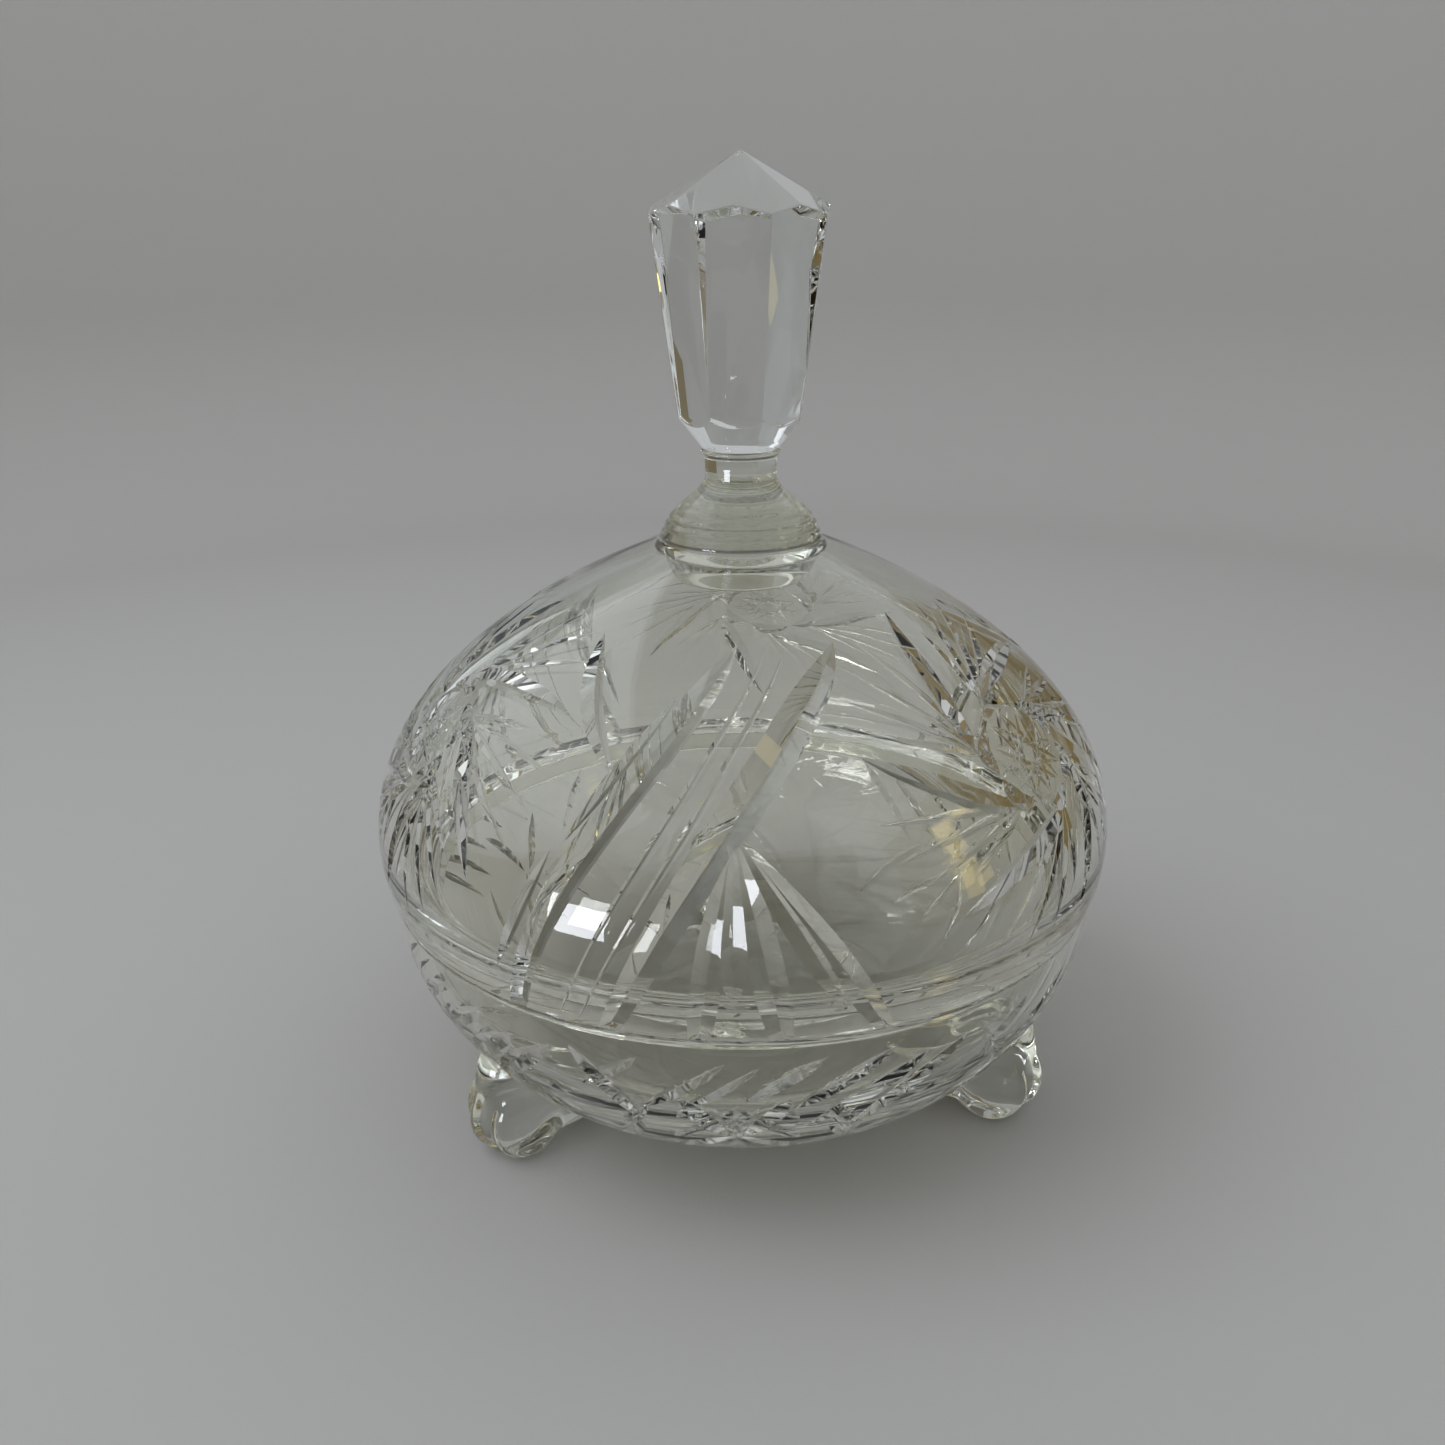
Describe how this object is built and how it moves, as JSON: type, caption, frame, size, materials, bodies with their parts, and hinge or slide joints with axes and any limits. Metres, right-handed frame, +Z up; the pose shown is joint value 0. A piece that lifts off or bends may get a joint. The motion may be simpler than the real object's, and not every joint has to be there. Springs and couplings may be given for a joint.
{
  "type": "powder jar",
  "caption": "Round covered powder jar in clear cut crystal on toe feet, with pinwheel and leaf cutting, a domed lift-off lid and a tall eight-sided finial.",
  "frame": {"origin": "on the table, on the jar's axis, at the centre of the bounding box's underside", "axes": "+Z up along the axis of the jar and its finial; -Y is the front, midway between the left and right front feet or close to it"},
  "size_m": [0.17, 0.17, 0.2126],
  "materials": {
    "bowl_crystal": "mould-blown lead crystal, wheel cut and acid polished",
    "foot_crystal": "hot-applied lead crystal, fire polished",
    "lid_crystal": "mould-blown lead crystal, wheel cut and acid polished",
    "stem_crystal": "hot-worked lead crystal, fire polished",
    "prism_crystal": "solid lead crystal, flat ground facets, polished"
  },
  "bodies": {
    "base": {"bowl": "bowl_crystal", "foot_left": "foot_crystal", "foot_right": "foot_crystal", "foot_back": "foot_crystal"},
    "lid": {"lid_dome": "lid_crystal", "finial_stem": "stem_crystal", "finial_prism": "prism_crystal"}
  },
  "joints": [
    {"name": "lid_lift", "type": "slide", "parent": "base", "child": "lid", "axis": [0, 0, 1], "range_m": [0, 0.12]}
  ]
}
